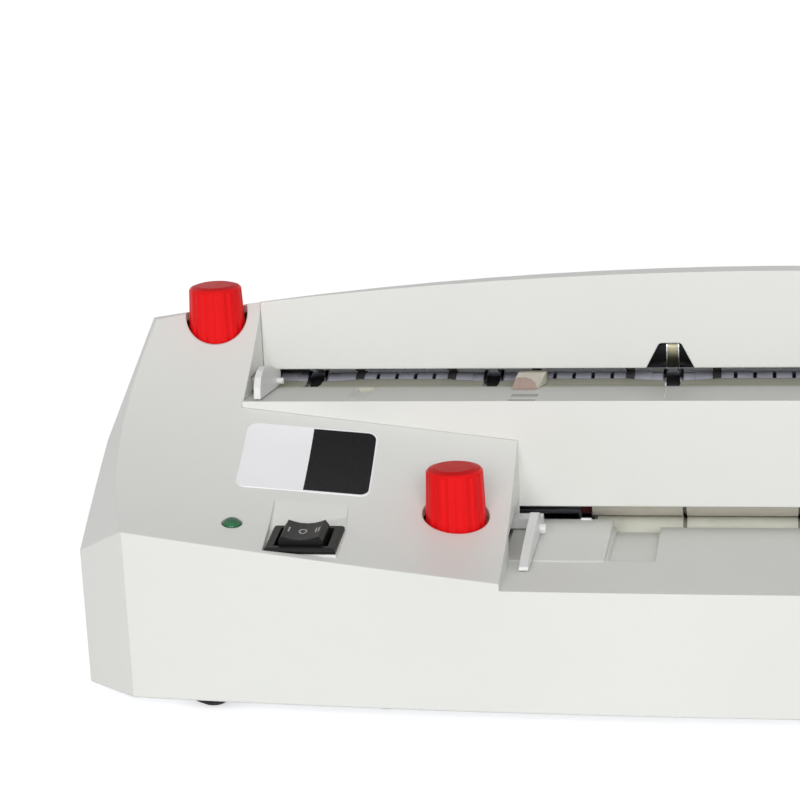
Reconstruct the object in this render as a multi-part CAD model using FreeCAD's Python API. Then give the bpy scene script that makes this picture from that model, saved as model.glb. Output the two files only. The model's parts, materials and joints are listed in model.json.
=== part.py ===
"""Motor-driven business card cutter with two feed slots, in millimetres.

Frame: origin at the centre of the footprint on the table, X to the right, Y to the back, Z up.
A sheet goes first through the upper slot, which slits it into strips, and each strip then goes
through the lower slot, which slits it into cards. Everything runs from front to back.
"""
import FreeCAD, Part
import math
import os

V = FreeCAD.Vector
X_AXIS = V(1, 0, 0)
Y_AXIS = V(0, 1, 0)
Z_AXIS = V(0, 0, 1)

# ---- casing -------------------------------------------------------------------------------
WALL = 2.5
SEAM = 0.12
BOTTOM_Z = 5.0
HALF_LENGTH = 187.5
HALF_DEPTH = 97.5
TOP_Z = 102.2
FRONT_CORNER = (170.0, -89.9)
SIDE_CORNER = (185.2, -79.0)
SIDE_WIDEST_Y = -10.0
REAR_SIDE = (184.0, 70.0)
REAR_CORNER_RADIUS = 24.0
CROWN_RADIUS = 1375.0
REAR_CROWN_RADIUS = 1146.0
REAR_SLOPE = 0.27
TOP_STRIP = 7.0

# ---- sloped control panel on the left end, mirrored as a plain cap on the right ---------------
PANEL_INNER_X = -70.0
PANEL_SPLAY = 0.0235
PANEL_FRONT_Y = -96.4
PANEL_FRONT_Z = 40.9
PANEL_CROSS_SLOPE = -0.10
PANEL_PLAN_SKEW = 0.045
PANEL_PROFILE = ((0.0, 0.0), (68.0, 19.0), (102.4, 42.1))
FACET_POINT = (-169.4, -90.2, 52.7)
FACET_NORMAL = (-0.656, -0.369, 0.658)
LEAN_POINT = (-187.3, 0.0, 62.0)
LEAN_NORMAL = (-0.982, 0.0, 0.187)

# ---- steps and slots ----------------------------------------------------------------------
RIGHT_WALL_X = 153.0
UPPER_LEFT_X = -150.0
SHELF_1 = ((-97.5, 38.9), (-26.4, 33.3))
RISER_Y = -28.4
RISER_BOTTOM_Z = 40.2
SHELF_2 = ((-28.4, 71.5), (2.4, 68.5))
SHELF_2_END_Y = -3.0
COVER_FACE_Y = 2.4
COVER_BOTTOM_Z = 73.3
REAR_SEAM_Z = 66.0
NOTCH_X = -27.6
NOTCH_TOP_HALF = 3.2
NOTCH_BOTTOM_HALF = 7.6
NOTCH_TOP_Z = 80.8
MARK_X = -28.4
MARK_Y = (-24.0, -3.5)
UPPER_POCKET_X = (-120.2, -114.8)
UPPER_POCKET_Y = (-21.0, -2.0)
UPPER_POCKET_DEPTH = 1.2
LOWER_POCKET_X = (-42.4, -29.7)
LOWER_POCKET_FRONT_Y = -64.5
LOWER_POCKET_DEPTH = 1.6
RAMP_X = (-71.0, -43.2)
RAMP_Y = (-66.0, -26.4)
RAMP_RISE = (0.35, 2.42)
UPPER_GAP_Y = (-14.5, -5.5)
UPPER_GAP_Z = (69.6, 75.2)
LOWER_GAP_Y = (-66.0, -30.5)
LOWER_GAP_Z = (30.0, 43.6)

# ---- controls -----------------------------------------------------------------------------
KNOB_1 = (-162.9, 0.5)
KNOB_1_RISE = 8.8
KNOB_2 = (-83.8, -61.9)
KNOB_2_RISE = 13.75
KNOB_HOLE_R = 9.2
KNOB_BASE_R = 8.55
KNOB_TOP_R = 7.8
KNOB_FLAT_R = 5.5
KNOB_RIM = 1.2
KNOB_FLUTES = 14
FLUTE_R = 2.0
FLUTE_DEPTH = 0.3
KNOB_SINK = 8.0
LED_XY = (-142.5, -78.2)
LED_R = 2.5
LED_DOME = 1.3
SWITCH_X = -121.7
SWITCH_FRONT = (-91.0, 48.1)
SWITCH_TILT_DEG = 7.0
BEZEL_LENGTH = 19.2
BEZEL_DEPTH = 15.0
SWITCH_POCKET_TOP = ((-133.5, -64.2), (-113.6, -63.2))
POCKET_LEFT = ((-131.6, -92.0), (-133.6, -62.0))
POCKET_RIGHT = ((-111.8, -76.0), (-113.6, -62.0))
WALL_FOOT_DROP = 2.7
PAD_HALF_LENGTH = 9.9
LABEL_X = (-146.3, -108.8)
LABEL_Y = (-59.5, -33.0)
LABEL_TURN_DEG = 2.7


# ---- cutter and feed stations ---------------------------------------------------------------
UPPER_STATIONS = (-135.0, -81.0, -27.0, 27.0, 81.0, 135.0)
LOWER_STATIONS = (-51.5, 38.5, 128.5)
SHAFT_R = 4.0
JOURNAL_R = 3.0
RUNNING_GAP = 0.05
BUSH_R = 6.0
LEFT_FRAME_X = (-156.0, -154.0)
RIGHT_FRAME_X = (156.5, 158.5)
GEAR_X = (160.6, 166.6)
DRIVE_X = (-164.4, -158.4)
UPPER_TOP = (14.0, 77.2)
UPPER_BOTTOM = (14.0, 62.2)
LOWER_TOP = (-14.0, 43.0)
LOWER_BOTTOM = (-14.0, 23.0)
MODULE = 1.0
UPPER_TEETH = 15
LOWER_TEETH = 20
IDLER_TEETH = 18
REDUCTION_TEETH = 22
MOTOR_TEETH = 10
REDUCTION_ANGLE_DEG = -2.7
MOTOR_R = 15.0
UPPER_FEED_GAP = 1.2
LOWER_FEED_GAP = 0.8
GRIP_OFFSET = 12.9
GRIP_WIDTH = 2.5
CUT_HALF = 1.5
DISC = 0.4
DISC_GAP = 0.1
TOP_HUB_END = 15.6
BOTTOM_HUB_END = 6.5
SHORTEST_SLEEVE = 3.0
DISC_OVERLAP = 0.6
ANVIL = 1.0
GRIP_SEAT = 1.5
GROOVE_WIDTH = 1.1
GROOVE_DEPTH = 0.7
GROOVE_MARGIN = 2.0
UPPER_GROOVE_PITCH = 5.75
LOWER_GROOVE_PITCH = 33.0
UPPER_LEFT_END = -150.0
RIGHT_END = 151.5
LIP_TIP = (7.5, 68.8)
SCALLOP = ((2.1, -1.5), (2.4, 5.6), (5.0, 5.8), (8.0, 6.2), (12.4, 7.0), (12.4, 9.0))
UPPER_EXIT_LINE = ((24.5, 66.5), (95.0, 53.6))
LOWER_EXIT_LINE = ((-1.5, 30.5), (95.0, 21.6))
MOTOR_SHAFT_R = 2.0
MOTOR_BOSS_R = 3.5

# ---- edge guides ---------------------------------------------------------------------------
PINION_TEETH = 14
RACK_TEETH = 5
UPPER_FIN_X = (-146.6, -144.6)
LOWER_FIN_X = (-65.4, -62.8)
FIN_GAP = 0.4
RACK_DEPTH = 4.6
UPPER_RACK_Z = (70.4, 74.2)
LOWER_RACK_Z = (36.4, 39.2)
UPPER_BRACKET_Z = 63.0
LOWER_BRACKET_Z = 30.0
KNOB_SHAFT_R = 2.0
PIVOT_R = 1.2
PIVOT_Z = -4.5
LEAF_X = (-73.4, -66.2)

# ---- base, rear and frames -------------------------------------------------------------------
BASE_SCREWS = ((-100.0, -88.0), (100.0, -88.0), (-158.0, 91.0), (158.0, 91.0))
FEET = ((-150.0, -80.0), (150.0, -80.0), (-150.0, 78.0), (150.0, 78.0))
UPPER_EXIT_X = (-147.8, 160.0)
UPPER_EXIT_Z = (53.0, 62.0)
LOWER_EXIT_X = (-68.0, 150.0)
LOWER_EXIT_Z = (21.0, 30.0)
GLAND_X = -120.0
GLAND_Z = 41.5
GLAND_R = 6.0
CORD_R = 3.4
SHAFTS = (UPPER_TOP, UPPER_BOTTOM, LOWER_TOP, LOWER_BOTTOM)
RODS = ((38.0, 50.0), (2.0, 12.5), (24.0, 40.5))
FRAME_OUTLINE = ((-26.0, 6.5), (-26.0, 58.0), (6.5, 61.0), (6.5, 84.6),
                 (20.0, 84.6), (44.0, 62.0), (44.0, 6.5))
FRAME_SCREW_Y = (-18.0, 36.0)
LEFT_FLANGE_X = (-166.0, -156.0)
RIGHT_FLANGE_X = (158.5, 168.5)

os.makedirs("parts", exist_ok=True)


def save(name, shape):
    """Write one node, and say what it holds."""
    shape = shape.removeSplitter() if shape.ShapeType != "Compound" else shape
    shape.exportStep("parts/" + name + ".step")
    print(name, len(shape.Solids), "solids,", round(shape.Volume), "mm3, valid", shape.isValid())


def box(x_span, y_span, z_span):
    corner = V(x_span[0], y_span[0], z_span[0])
    return Part.makeBox(x_span[1] - x_span[0], y_span[1] - y_span[0], z_span[1] - z_span[0], corner)


def fuse(shapes):
    result = shapes[0]
    return result.fuse(shapes[1:]) if len(shapes) > 1 else result


def disc_x(centre, radius, x_span, bore=0.0):
    """Cylinder about an axis along X through centre (y, z), with an optional bore."""
    start = V(x_span[0], centre[0], centre[1])
    body = Part.makeCylinder(radius, x_span[1] - x_span[0], start, X_AXIS)
    if bore:
        body = body.cut(Part.makeCylinder(bore, x_span[1] - x_span[0], start, X_AXIS))
    return body


def disc_z(centre, radius, z_span, bore=0.0):
    start = V(centre[0], centre[1], z_span[0])
    body = Part.makeCylinder(radius, z_span[1] - z_span[0], start, Z_AXIS)
    if bore:
        body = body.cut(Part.makeCylinder(bore, z_span[1] - z_span[0], start, Z_AXIS))
    return body


def polygon_face(points):
    return Part.Face(Part.makePolygon(points + [points[0]]))


def prism_yz(points, x_span):
    """Polygon of (y, z) points pushed along X."""
    face = polygon_face([V(x_span[0], y, z) for y, z in points])
    return face.extrude(V(x_span[1] - x_span[0], 0, 0))


def prism_xz(points, y_span):
    face = polygon_face([V(x, y_span[0], z) for x, z in points])
    return face.extrude(V(0, y_span[1] - y_span[0], 0))


def prism_xy(points, z_span):
    face = polygon_face([V(x, y, z_span[0]) for x, y in points])
    return face.extrude(V(0, 0, z_span[1] - z_span[0]))


def slab(point, normal, inset):
    """Thick plate that cuts away what lies beyond a plane, seen along its outward normal."""
    normal = V(*normal).normalize()
    side = normal.cross(V(0.1, 0.9, 0.2)).normalize()
    up = normal.cross(side)
    base = V(*point) - normal * inset
    corners = [base + side * a * 300 + up * b * 300 for a, b in ((1, 1), (-1, 1), (-1, -1), (1, -1))]
    return polygon_face(corners).extrude(normal * 120)


def mirrored(shape):
    return shape.mirror(V(0, 0, 0), X_AXIS)


# ---- casing form ----------------------------------------------------------------------------
def arc(a, b, c):
    return Part.Arc(V(*a), V(*b), V(*c)).toShape()


def plan_wire():
    """Footprint: bowed front, chamfered front corners, bowed sides, round rear corners."""
    fx, fy = FRONT_CORNER
    sx, sy = SIDE_CORNER
    rx, ry = REAR_SIDE
    turn = REAR_CORNER_RADIUS
    knee = turn * (1 - math.sqrt(0.5))
    back = HALF_DEPTH
    edges = [
        arc((-fx, fy, 0), (0, -HALF_DEPTH, 0), (fx, fy, 0)),
        Part.makeLine(V(fx, fy, 0), V(sx, sy, 0)),
        arc((sx, sy, 0), (HALF_LENGTH, SIDE_WIDEST_Y, 0), (rx, ry, 0)),
        arc((rx, ry, 0), (rx - knee, back - knee, 0), (rx - turn, back, 0)),
        Part.makeLine(V(rx - turn, back, 0), V(turn - rx, back, 0)),
        arc((turn - rx, back, 0), (knee - rx, back - knee, 0), (-rx, ry, 0)),
        arc((-rx, ry, 0), (-HALF_LENGTH, SIDE_WIDEST_Y, 0), (-sx, sy, 0)),
        Part.makeLine(V(-sx, sy, 0), V(-fx, fy, 0)),
    ]
    return Part.Wire(edges)


def crown(radius, top, y_start, push):
    """Everything under a barrel-shaped top that is pushed along the vector push."""
    half = 210.0
    drop = radius - math.sqrt(radius * radius - half * half)
    curve = arc((-half, y_start, top - drop), (0, y_start, top), (half, y_start, top - drop))
    sides = Part.makePolygon([V(half, y_start, top - drop), V(half, y_start, -60),
                              V(-half, y_start, -60), V(-half, y_start, top - drop)])
    return Part.Face(Part.Wire([curve] + sides.Edges)).extrude(push)


def envelope(inset):
    """Outer form of the whole casing, moved inwards by inset."""
    wire = plan_wire()
    if inset:
        wire = wire.makeOffset2D(-inset)
    body = Part.Face(wire).extrude(V(0, 0, 130))
    length = 240.0
    body = body.common(crown(CROWN_RADIUS, TOP_Z - inset, -120, V(0, length, 0)))
    rear_top = TOP_Z + REAR_SLOPE * (TOP_STRIP + COVER_FACE_Y + 120) - inset
    push = V(0, length, -REAR_SLOPE * length)
    body = body.common(crown(REAR_CROWN_RADIUS, rear_top, -120, push))
    rear_edge_z = TOP_Z - REAR_SLOPE * (HALF_DEPTH - COVER_FACE_Y - TOP_STRIP)
    for cut in (slab((0, HALF_DEPTH - 7, rear_edge_z), (0, 1, 1.2), inset),
                slab(LEAN_POINT, LEAN_NORMAL, inset),
                slab((-LEAN_POINT[0], 0, LEAN_POINT[2]), (-LEAN_NORMAL[0], 0, LEAN_NORMAL[2]), inset)):
        body = body.cut(cut)
    return body


def under_panel(inset):
    """Everything under the concave, sloped control panel and its side facet."""
    x_start = -200.0
    lift = PANEL_FRONT_Z + PANEL_CROSS_SLOPE * (x_start - PANEL_INNER_X)
    front_y = PANEL_FRONT_Y + PANEL_PLAN_SKEW * (x_start - PANEL_INNER_X)
    points = [V(x_start, front_y + s, lift + rise) for s, rise in PANEL_PROFILE]
    circle = Part.Circle(*points)
    radius = circle.Radius + inset
    centre = circle.Center

    def on_arc(y):
        return V(x_start, y, centre.z - math.sqrt(radius * radius - (y - centre.y) ** 2))

    front, middle, back = on_arc(-120.0), on_arc(-50.0), on_arc(45.0)
    top = Part.Arc(front, middle, back).toShape()
    far = V(x_start, 130, back.z + 80)
    rest = Part.makePolygon([back, far, V(x_start, 130, -80), V(x_start, -120, -80), front])
    block = Part.Face(Part.Wire([top] + rest.Edges))
    block = block.extrude(V(200, 200 * PANEL_PLAN_SKEW, 200 * PANEL_CROSS_SLOPE))
    return block.cut(slab(FACET_POINT, FACET_NORMAL, inset))


def panel_z(x, y):
    """Height of the control panel's surface."""
    (s0, r0), (s1, r1), (s2, r2) = PANEL_PROFILE
    circle = Part.Circle(V(s0, r0, 0), V(s1, r1, 0), V(s2, r2, 0))
    s = y - PANEL_FRONT_Y - PANEL_PLAN_SKEW * (x - PANEL_INNER_X)
    rise = circle.Center.y - math.sqrt(circle.Radius ** 2 - (s - circle.Center.x) ** 2)
    return PANEL_FRONT_Z + PANEL_CROSS_SLOPE * (x - PANEL_INNER_X) + rise


def line_z(line, y):
    (y0, z0), (y1, z1) = line
    return z0 + (z1 - z0) * (y - y0) / (y1 - y0)


def under_shelf(line, inset, y_span, x_span):
    """Everything under a sloped shelf line."""
    points = [(y_span[0], -20), (y_span[1], -20), (y_span[1], line_z(line, y_span[1]) - inset),
              (y_span[0], line_z(line, y_span[0]) - inset)]
    return prism_yz(points, x_span)


def ramp_rise(y):
    """How far the ramp stands over the lower shelf."""
    if y < RAMP_Y[0]:
        return 0.0
    share = (y - RAMP_Y[0]) / (RAMP_Y[1] - RAMP_Y[0])
    return RAMP_RISE[0] + share * (RAMP_RISE[1] - RAMP_RISE[0])


def cap(inset, inner_x, wide):
    """One end of the casing: left end with the control panel, or its narrow mirror image."""
    regions = [box((-200, -inner_x - inset), (-120, 120), (-20, 130))]
    if wide:
        back = RISER_Y + 1.5 * inset
        front_x = PANEL_INNER_X + PANEL_SPLAY * (back + 120) - inset
        regions = [box((-200, UPPER_LEFT_X - inset), (-120, 120), (-20, 130)),
                   prism_xy([(-200, -120), (front_x, -120), (PANEL_INNER_X - inset, back), (-200, back)],
                            (-20, 130))]
    return envelope(inset).common(under_panel(inset)).common(fuse(regions))


def lamp_placement():
    """Frame of the indicator lamp: origin on the panel, Z square to it."""
    x, y = LED_XY
    normal = V(panel_z(x - 0.5, y) - panel_z(x + 0.5, y), panel_z(x, y - 0.5) - panel_z(x, y + 0.5), 1)
    return FreeCAD.Placement(V(x, y, panel_z(x, y) + 0.1), FreeCAD.Rotation(Z_AXIS, normal))


def switch_placement():
    """Frame of the rocker switch: origin at the middle of its bezel's top, tilted about X."""
    tilt = math.radians(SWITCH_TILT_DEG)
    y0, z0 = SWITCH_FRONT
    middle = V(SWITCH_X, y0 + 0.5 * BEZEL_DEPTH * math.cos(tilt), z0 + 0.5 * BEZEL_DEPTH * math.sin(tilt))
    return FreeCAD.Placement(middle, FreeCAD.Rotation(X_AXIS, SWITCH_TILT_DEG))


def placed(shape, placement):
    shape.Placement = placement.multiply(shape.Placement)
    return shape


def pocket_wall():
    """Point and outward normal of the pocket's rear wall, from behind the bezel up to the panel."""
    left, right = (V(x, y, panel_z(x, y)) for x, y in SWITCH_POCKET_TOP)
    tilt = math.radians(SWITCH_TILT_DEG)
    reach = BEZEL_DEPTH + 0.4
    y0, z0 = SWITCH_FRONT
    foot = V(SWITCH_X, y0 + reach * math.cos(tilt), z0 + reach * math.sin(tilt) - WALL_FOOT_DROP)
    return left, (right - left).cross(foot - left)


def switch_pocket(margin):
    """Space of the switch pocket: floor under the bezel, sloped wall behind, sides that run to the left."""
    slope = math.tan(math.radians(SWITCH_TILT_DEG))
    y0, z0 = SWITCH_FRONT
    floor_z = z0 - 1.6 - margin
    front_y, back_y, top_z = y0 - 0.3 - margin, -55.0, 75.0
    side = [(front_y, floor_z), (back_y, floor_z + slope * (back_y - front_y)), (back_y, top_z),
            (front_y, top_z)]
    (left_x, _), (rear_left_x, rear_y) = POCKET_LEFT
    (right_x, knee_y), (rear_right_x, _) = POCKET_RIGHT
    plan = [(left_x - margin, front_y), (rear_left_x - margin, rear_y), (rear_left_x - margin, back_y),
            (rear_right_x + margin, back_y), (rear_right_x + margin, rear_y), (right_x + margin, knee_y),
            (right_x + margin, front_y)]
    block = prism_yz(side, (-150, -100)).common(prism_xy(plan, (20, 80)))
    point, normal = pocket_wall()
    return block.cut(slab(point, normal, -margin))


def make_main_housing():
    """Left end with the panel, front wall with the lower shelf, and right end cap, in one shell."""
    front_x = (PANEL_INNER_X - 2, RIGHT_WALL_X + 2)
    outer = [cap(0, 0, True), mirrored(cap(0, RIGHT_WALL_X, False)),
             envelope(0).common(under_shelf(SHELF_1, 0, (-120, SHELF_1[1][0]), front_x))]
    shell = fuse(outer)
    behind_face = (COVER_FACE_Y + WALL + 0.5, 120)
    hollow = envelope(WALL).common(under_panel(WALL))
    inner = [cap(WALL, 0, True), mirrored(cap(WALL, RIGHT_WALL_X, False)),
             hollow.common(box((-200, UPPER_LEFT_X + 5), behind_face, (-20, 130))),
             hollow.common(box((-200, UPPER_LEFT_X + 5), (-60, 120), (-20, 66))),
             mirrored(hollow.common(box((-200, 5 - RIGHT_WALL_X), behind_face, (-20, 130)))),
             mirrored(hollow.common(box((-200, 5 - RIGHT_WALL_X), (RISER_Y - 1, 120), (-20, 66)))),
             envelope(WALL).common(under_shelf(SHELF_1, WALL, (-120, -20), (-90, 170)))]
    for hole in inner:
        shell = shell.cut(hole)
    shell = shell.cut(box((-200, 200), (-120, 120), (-30, BOTTOM_Z)))
    # pocket for the rocker switch
    block = switch_pocket(WALL).common(under_panel(0)).common(envelope(0))
    pad = placed(box((-PAD_HALF_LENGTH, PAD_HALF_LENGTH), (-7.8, 7.4), (-3.2, -1.0)), switch_placement())
    shell = shell.fuse(block).fuse(pad).cut(switch_pocket(0))
    body_hole = placed(box((-8.6, 8.6), (-6.6, 6.6), (-20, 5)), switch_placement())
    shell = shell.cut(body_hole)
    # knob holes, lamp hole and the openings for the edge guides' arms
    shell = shell.cut(disc_z(KNOB_1, KNOB_HOLE_R, (60, 120)))
    shell = shell.cut(disc_z(KNOB_2, KNOB_HOLE_R, (30, 80)))
    lamp_hole = Part.makeCylinder(LED_R + 0.15, 20, V(0, 0, -10), Z_AXIS)
    countersink = Part.makeCone(LED_R + 0.15, LED_R + 0.4, 1.2, V(0, 0, -1.0), Z_AXIS)
    shell = shell.cut(placed(lamp_hole.fuse(countersink), lamp_placement()))
    shell = shell.cut(box((UPPER_LEFT_X - 6, UPPER_LEFT_X + 1), UPPER_GAP_Y, UPPER_GAP_Z))
    arm_gap = box((PANEL_INNER_X - 6, PANEL_INNER_X + 3), LOWER_GAP_Y, LOWER_GAP_Z)
    shell = shell.cut(arm_gap.cut(under_shelf(SHELF_1, -FIN_GAP, (-80, -20), (-90, -60))))
    # bosses for the base screws
    floor_z = BOTTOM_Z + 1.6
    bosses = [disc_z(at, 5.0, (floor_z, 19.0)).common(envelope(0.6)) for at in BASE_SCREWS]
    shell = shell.fuse(bosses)
    for at in BASE_SCREWS:
        shell = shell.cut(disc_z(at, 1.5, (BOTTOM_Z - 1, 16.5)))
    # open pocket in the lower shelf, and the low ramp beside it
    pocket = under_shelf(SHELF_1, -3, (LOWER_POCKET_FRONT_Y, -20), LOWER_POCKET_X)
    shell = shell.cut(pocket.cut(under_shelf(SHELF_1, LOWER_POCKET_DEPTH, (-80, -10), (-50, -20))))
    front, back = RAMP_Y
    low, high = line_z(SHELF_1, front), line_z(SHELF_1, back)
    ramp = [(front, low - 1), (front, low + ramp_rise(front)), (back, high + ramp_rise(back)), (back, high - 1)]
    return shell.fuse(prism_yz(ramp, RAMP_X))


def make_cutter_cover():
    """Riser over the lower slot, with the upper shelf on it, as one bent panel."""
    x_span = (UPPER_LEFT_X + SEAM, RIGHT_WALL_X - SEAM)
    y0, z0 = SHELF_2[0]
    y1, z1 = SHELF_2_END_Y, line_z(SHELF_2, SHELF_2_END_Y)
    side = [(RISER_Y, RISER_BOTTOM_Z), (RISER_Y + WALL, RISER_BOTTOM_Z), (RISER_Y + WALL, z0 - WALL - 0.3),
            (y1, z1 - WALL), (y1, z1), (y0, z0)]
    panel = prism_yz(side, x_span)
    pocket = under_shelf(SHELF_2, -3, UPPER_POCKET_Y, UPPER_POCKET_X)
    panel = panel.cut(pocket.cut(under_shelf(SHELF_2, UPPER_POCKET_DEPTH, (-30, 5), (-125, -110))))
    # fine engraved alignment mark below the viewing notch
    mark = under_shelf(SHELF_2, -3, MARK_Y, (MARK_X - 0.3, MARK_X + 0.3))
    mark = mark.fuse(under_shelf(SHELF_2, -3, (MARK_Y[0] - 0.3, MARK_Y[0] + 0.3), (MARK_X - 3.6, MARK_X)))
    return panel.cut(mark.cut(under_shelf(SHELF_2, 0.3, (-20, 5), (-60, 0))))


def make_top_cover():
    """Tall crowned cover over the upper cutters, with the viewing notch in its face."""
    x_span = (UPPER_LEFT_X + SEAM, RIGHT_WALL_X - SEAM)
    outer = envelope(0).common(box(x_span, (COVER_FACE_Y, 120), (REAR_SEAM_Z + SEAM, 130)))
    inner = envelope(WALL).common(box((-170, 170), (COVER_FACE_Y + WALL, 120), (0, 130)))
    cover = outer.cut(inner)
    cover = cover.cut(box((-170, 170), (-10, COVER_FACE_Y + WALL + 0.1), (0, COVER_BOTTOM_Z)))
    notch = [(NOTCH_X - NOTCH_BOTTOM_HALF, COVER_BOTTOM_Z - 1), (NOTCH_X - NOTCH_TOP_HALF, NOTCH_TOP_Z),
             (NOTCH_X + NOTCH_TOP_HALF, NOTCH_TOP_Z), (NOTCH_X + NOTCH_BOTTOM_HALF, COVER_BOTTOM_Z - 1)]
    cutter = prism_xz(notch, (COVER_FACE_Y - 1, COVER_FACE_Y + WALL + 1))
    upright = [edge for edge in cutter.Edges if abs(edge.Length - (WALL + 2)) < 1e-6]
    tips = [edge for edge in upright if edge.CenterOfMass.z > NOTCH_TOP_Z - 0.1]
    return cover.cut(cutter.makeFillet(1.4, tips))


def make_rear_panel():
    """Rear wall with one exit for strips, one for cards, and the hole for the cord gland."""
    x_span = (UPPER_LEFT_X + SEAM, RIGHT_WALL_X - SEAM)
    wall = box(x_span, (HALF_DEPTH - WALL, HALF_DEPTH), (BOTTOM_Z, REAR_SEAM_Z))
    wall = wall.cut(box(UPPER_EXIT_X, (90, 100), UPPER_EXIT_Z))
    wall = wall.cut(box(LOWER_EXIT_X, (90, 100), LOWER_EXIT_Z))
    return wall.cut(Part.makeCylinder(GLAND_R, 10, V(GLAND_X, 90, GLAND_Z), Y_AXIS))


def make_base_plate():
    """Steel floor inside the casing's lower edge."""
    thick = (BOTTOM_Z, BOTTOM_Z + 1.5)
    plate = Part.Face(plan_wire().makeOffset2D(-WALL - SEAM)).extrude(V(0, 0, 60))
    plate = plate.common(box((-200, 200), (-120, 120), thick))
    for at in BASE_SCREWS:
        plate = plate.cut(disc_z(at, 2.0, (0, 10)))
    for at in FEET:
        plate = plate.cut(disc_z(at, 2.0, (0, 10)))
    for flange_x in (LEFT_FLANGE_X, RIGHT_FLANGE_X):
        for y in FRAME_SCREW_Y:
            plate = plate.cut(disc_z((0.5 * sum(flange_x), y), 1.6, (0, 10)))
    for row in range(7):
        x = -45.0 + 15.0 * row
        plate = plate.cut(box((x - 1.25, x + 1.25), (0, 40), (0, 10)))
    return plate


def make_feet():
    """Domed rubber feet, each held by a stud through the base plate."""
    feet = []
    for x, y in FEET:
        profile = [V(0, 0, 0), V(3.0, 0, 0), V(5.6, 0, 1.6), V(6.8, 0, BOTTOM_Z), V(1.9, 0, BOTTOM_Z),
                   V(1.9, 0, BOTTOM_Z + 1.5), V(3.0, 0, BOTTOM_Z + 1.7), V(1.5, 0, BOTTOM_Z + 3.5),
                   V(0, 0, BOTTOM_Z + 3.5)]
        foot = polygon_face(profile).revolve(V(0, 0, 0), Z_AXIS, 360)
        foot.translate(V(x, y, 0))
        feet.append(foot)
    return Part.makeCompound(feet)


def screw(at, axis, head_r, head_h, shank_r, length):
    """Pan-head screw: at is under the head, axis points from the head to the tip."""
    axis = V(*axis)
    at = V(*at)
    head = Part.makeCylinder(head_r, head_h, at - axis * head_h, axis)
    shank = Part.makeCylinder(shank_r, length, at, axis)
    arm = Part.makeBox(0.7, 2.4 * shank_r, 0.6, V(-0.35, -1.2 * shank_r, 0))
    other = Part.makeBox(2.4 * shank_r, 0.7, 0.6, V(-1.2 * shank_r, -0.35, 0))
    turn = FreeCAD.Rotation(Z_AXIS, axis)
    drive = placed(arm.fuse(other), FreeCAD.Placement(at - axis * (head_h + 0.01), turn))
    return head.fuse(shank).cut(drive)


# ---- side frames, rods and bushes -----------------------------------------------------------
def make_side_frame(x_span, flange_x, gears):
    """Steel side plate with a bent foot that is screwed to the base plate."""
    floor_z = BOTTOM_Z + 1.5
    plate = prism_yz(list(FRAME_OUTLINE), x_span)
    plate = plate.fuse(box(flange_x, (-26, 44), (floor_z, floor_z + 2.0)))
    for centre in SHAFTS:
        plate = plate.cut(disc_x(centre, BUSH_R, (x_span[0] - 1, x_span[1] + 1)))
    for centre in RODS:
        plate = plate.cut(disc_x(centre, 1.6, (x_span[0] - 1, x_span[1] + 1)))
    if x_span == LEFT_FRAME_X:
        centre = gears["motor"][0]
        plate = plate.cut(disc_x(centre, MOTOR_BOSS_R, (x_span[0] - 1, x_span[1] + 1)))
        for point in motor_screw_points(centre):
            plate = plate.cut(disc_x(point, 1.3, (x_span[0] - 1, x_span[1] + 1)))
    middle = 0.5 * sum(flange_x)
    for y in FRAME_SCREW_Y:
        plate = plate.cut(disc_z((middle, y), 1.6, (0, 12)))
    return plate


def make_bushes():
    """Flanged bushes: one for each shaft end."""
    bushes = []
    bore = JOURNAL_R + RUNNING_GAP
    for centre in SHAFTS:
        for (x0, x1), inward in ((LEFT_FRAME_X, 1), (RIGHT_FRAME_X, -1)):
            sleeve = disc_x(centre, BUSH_R, (x0 - 1.0, x1 + 1.0), bore)
            flange_x = (x1, x1 + 1.0) if inward > 0 else (x0 - 1.0, x0)
            bushes.append(sleeve.fuse(disc_x(centre, BUSH_R + 1.2, flange_x, bore)))
    return Part.makeCompound(bushes)


def make_tie_rods():
    """Round rods between the side frames, with turned-down ends through the plates."""
    rods = []
    for centre in RODS:
        rod = disc_x(centre, 3.0, (LEFT_FRAME_X[1], RIGHT_FRAME_X[0]))
        rod = rod.fuse(disc_x(centre, 1.55, (LEFT_FRAME_X[0] - 1.5, RIGHT_FRAME_X[1] + 1.5)))
        rods.append(rod)
    return Part.makeCompound(rods)


# ---- gears ----------------------------------------------------------------------------------
def gear_points(teeth, phase, backlash=0.12):
    """Outline of an involute gear: flat facets along each flank, tip and root."""
    pitch_r = 0.5 * MODULE * teeth
    pressure = math.radians(20)
    base_r = pitch_r * math.cos(pressure)
    tip_r = pitch_r + 0.95 * MODULE
    root_r = pitch_r - 1.2 * MODULE
    half = math.pi / (2 * teeth) - 0.5 * backlash / pitch_r

    def flank_angle(radius):
        if radius <= base_r:
            return half + math.tan(pressure) - pressure
        local = math.acos(base_r / radius)
        return half + (math.tan(pressure) - pressure) - (math.tan(local) - local)

    radii = [root_r, max(base_r, root_r + 0.2)]
    radii += [radii[1] + (tip_r - radii[1]) * step / 4 for step in range(1, 5)]
    points = []
    for tooth in range(teeth):
        centre = phase + 2 * math.pi * tooth / teeth
        for radius in radii:
            points.append((radius, centre - flank_angle(radius)))
        for radius in reversed(radii):
            points.append((radius, centre + flank_angle(radius)))
    return [(r * math.cos(a), r * math.sin(a)) for r, a in points]


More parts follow.
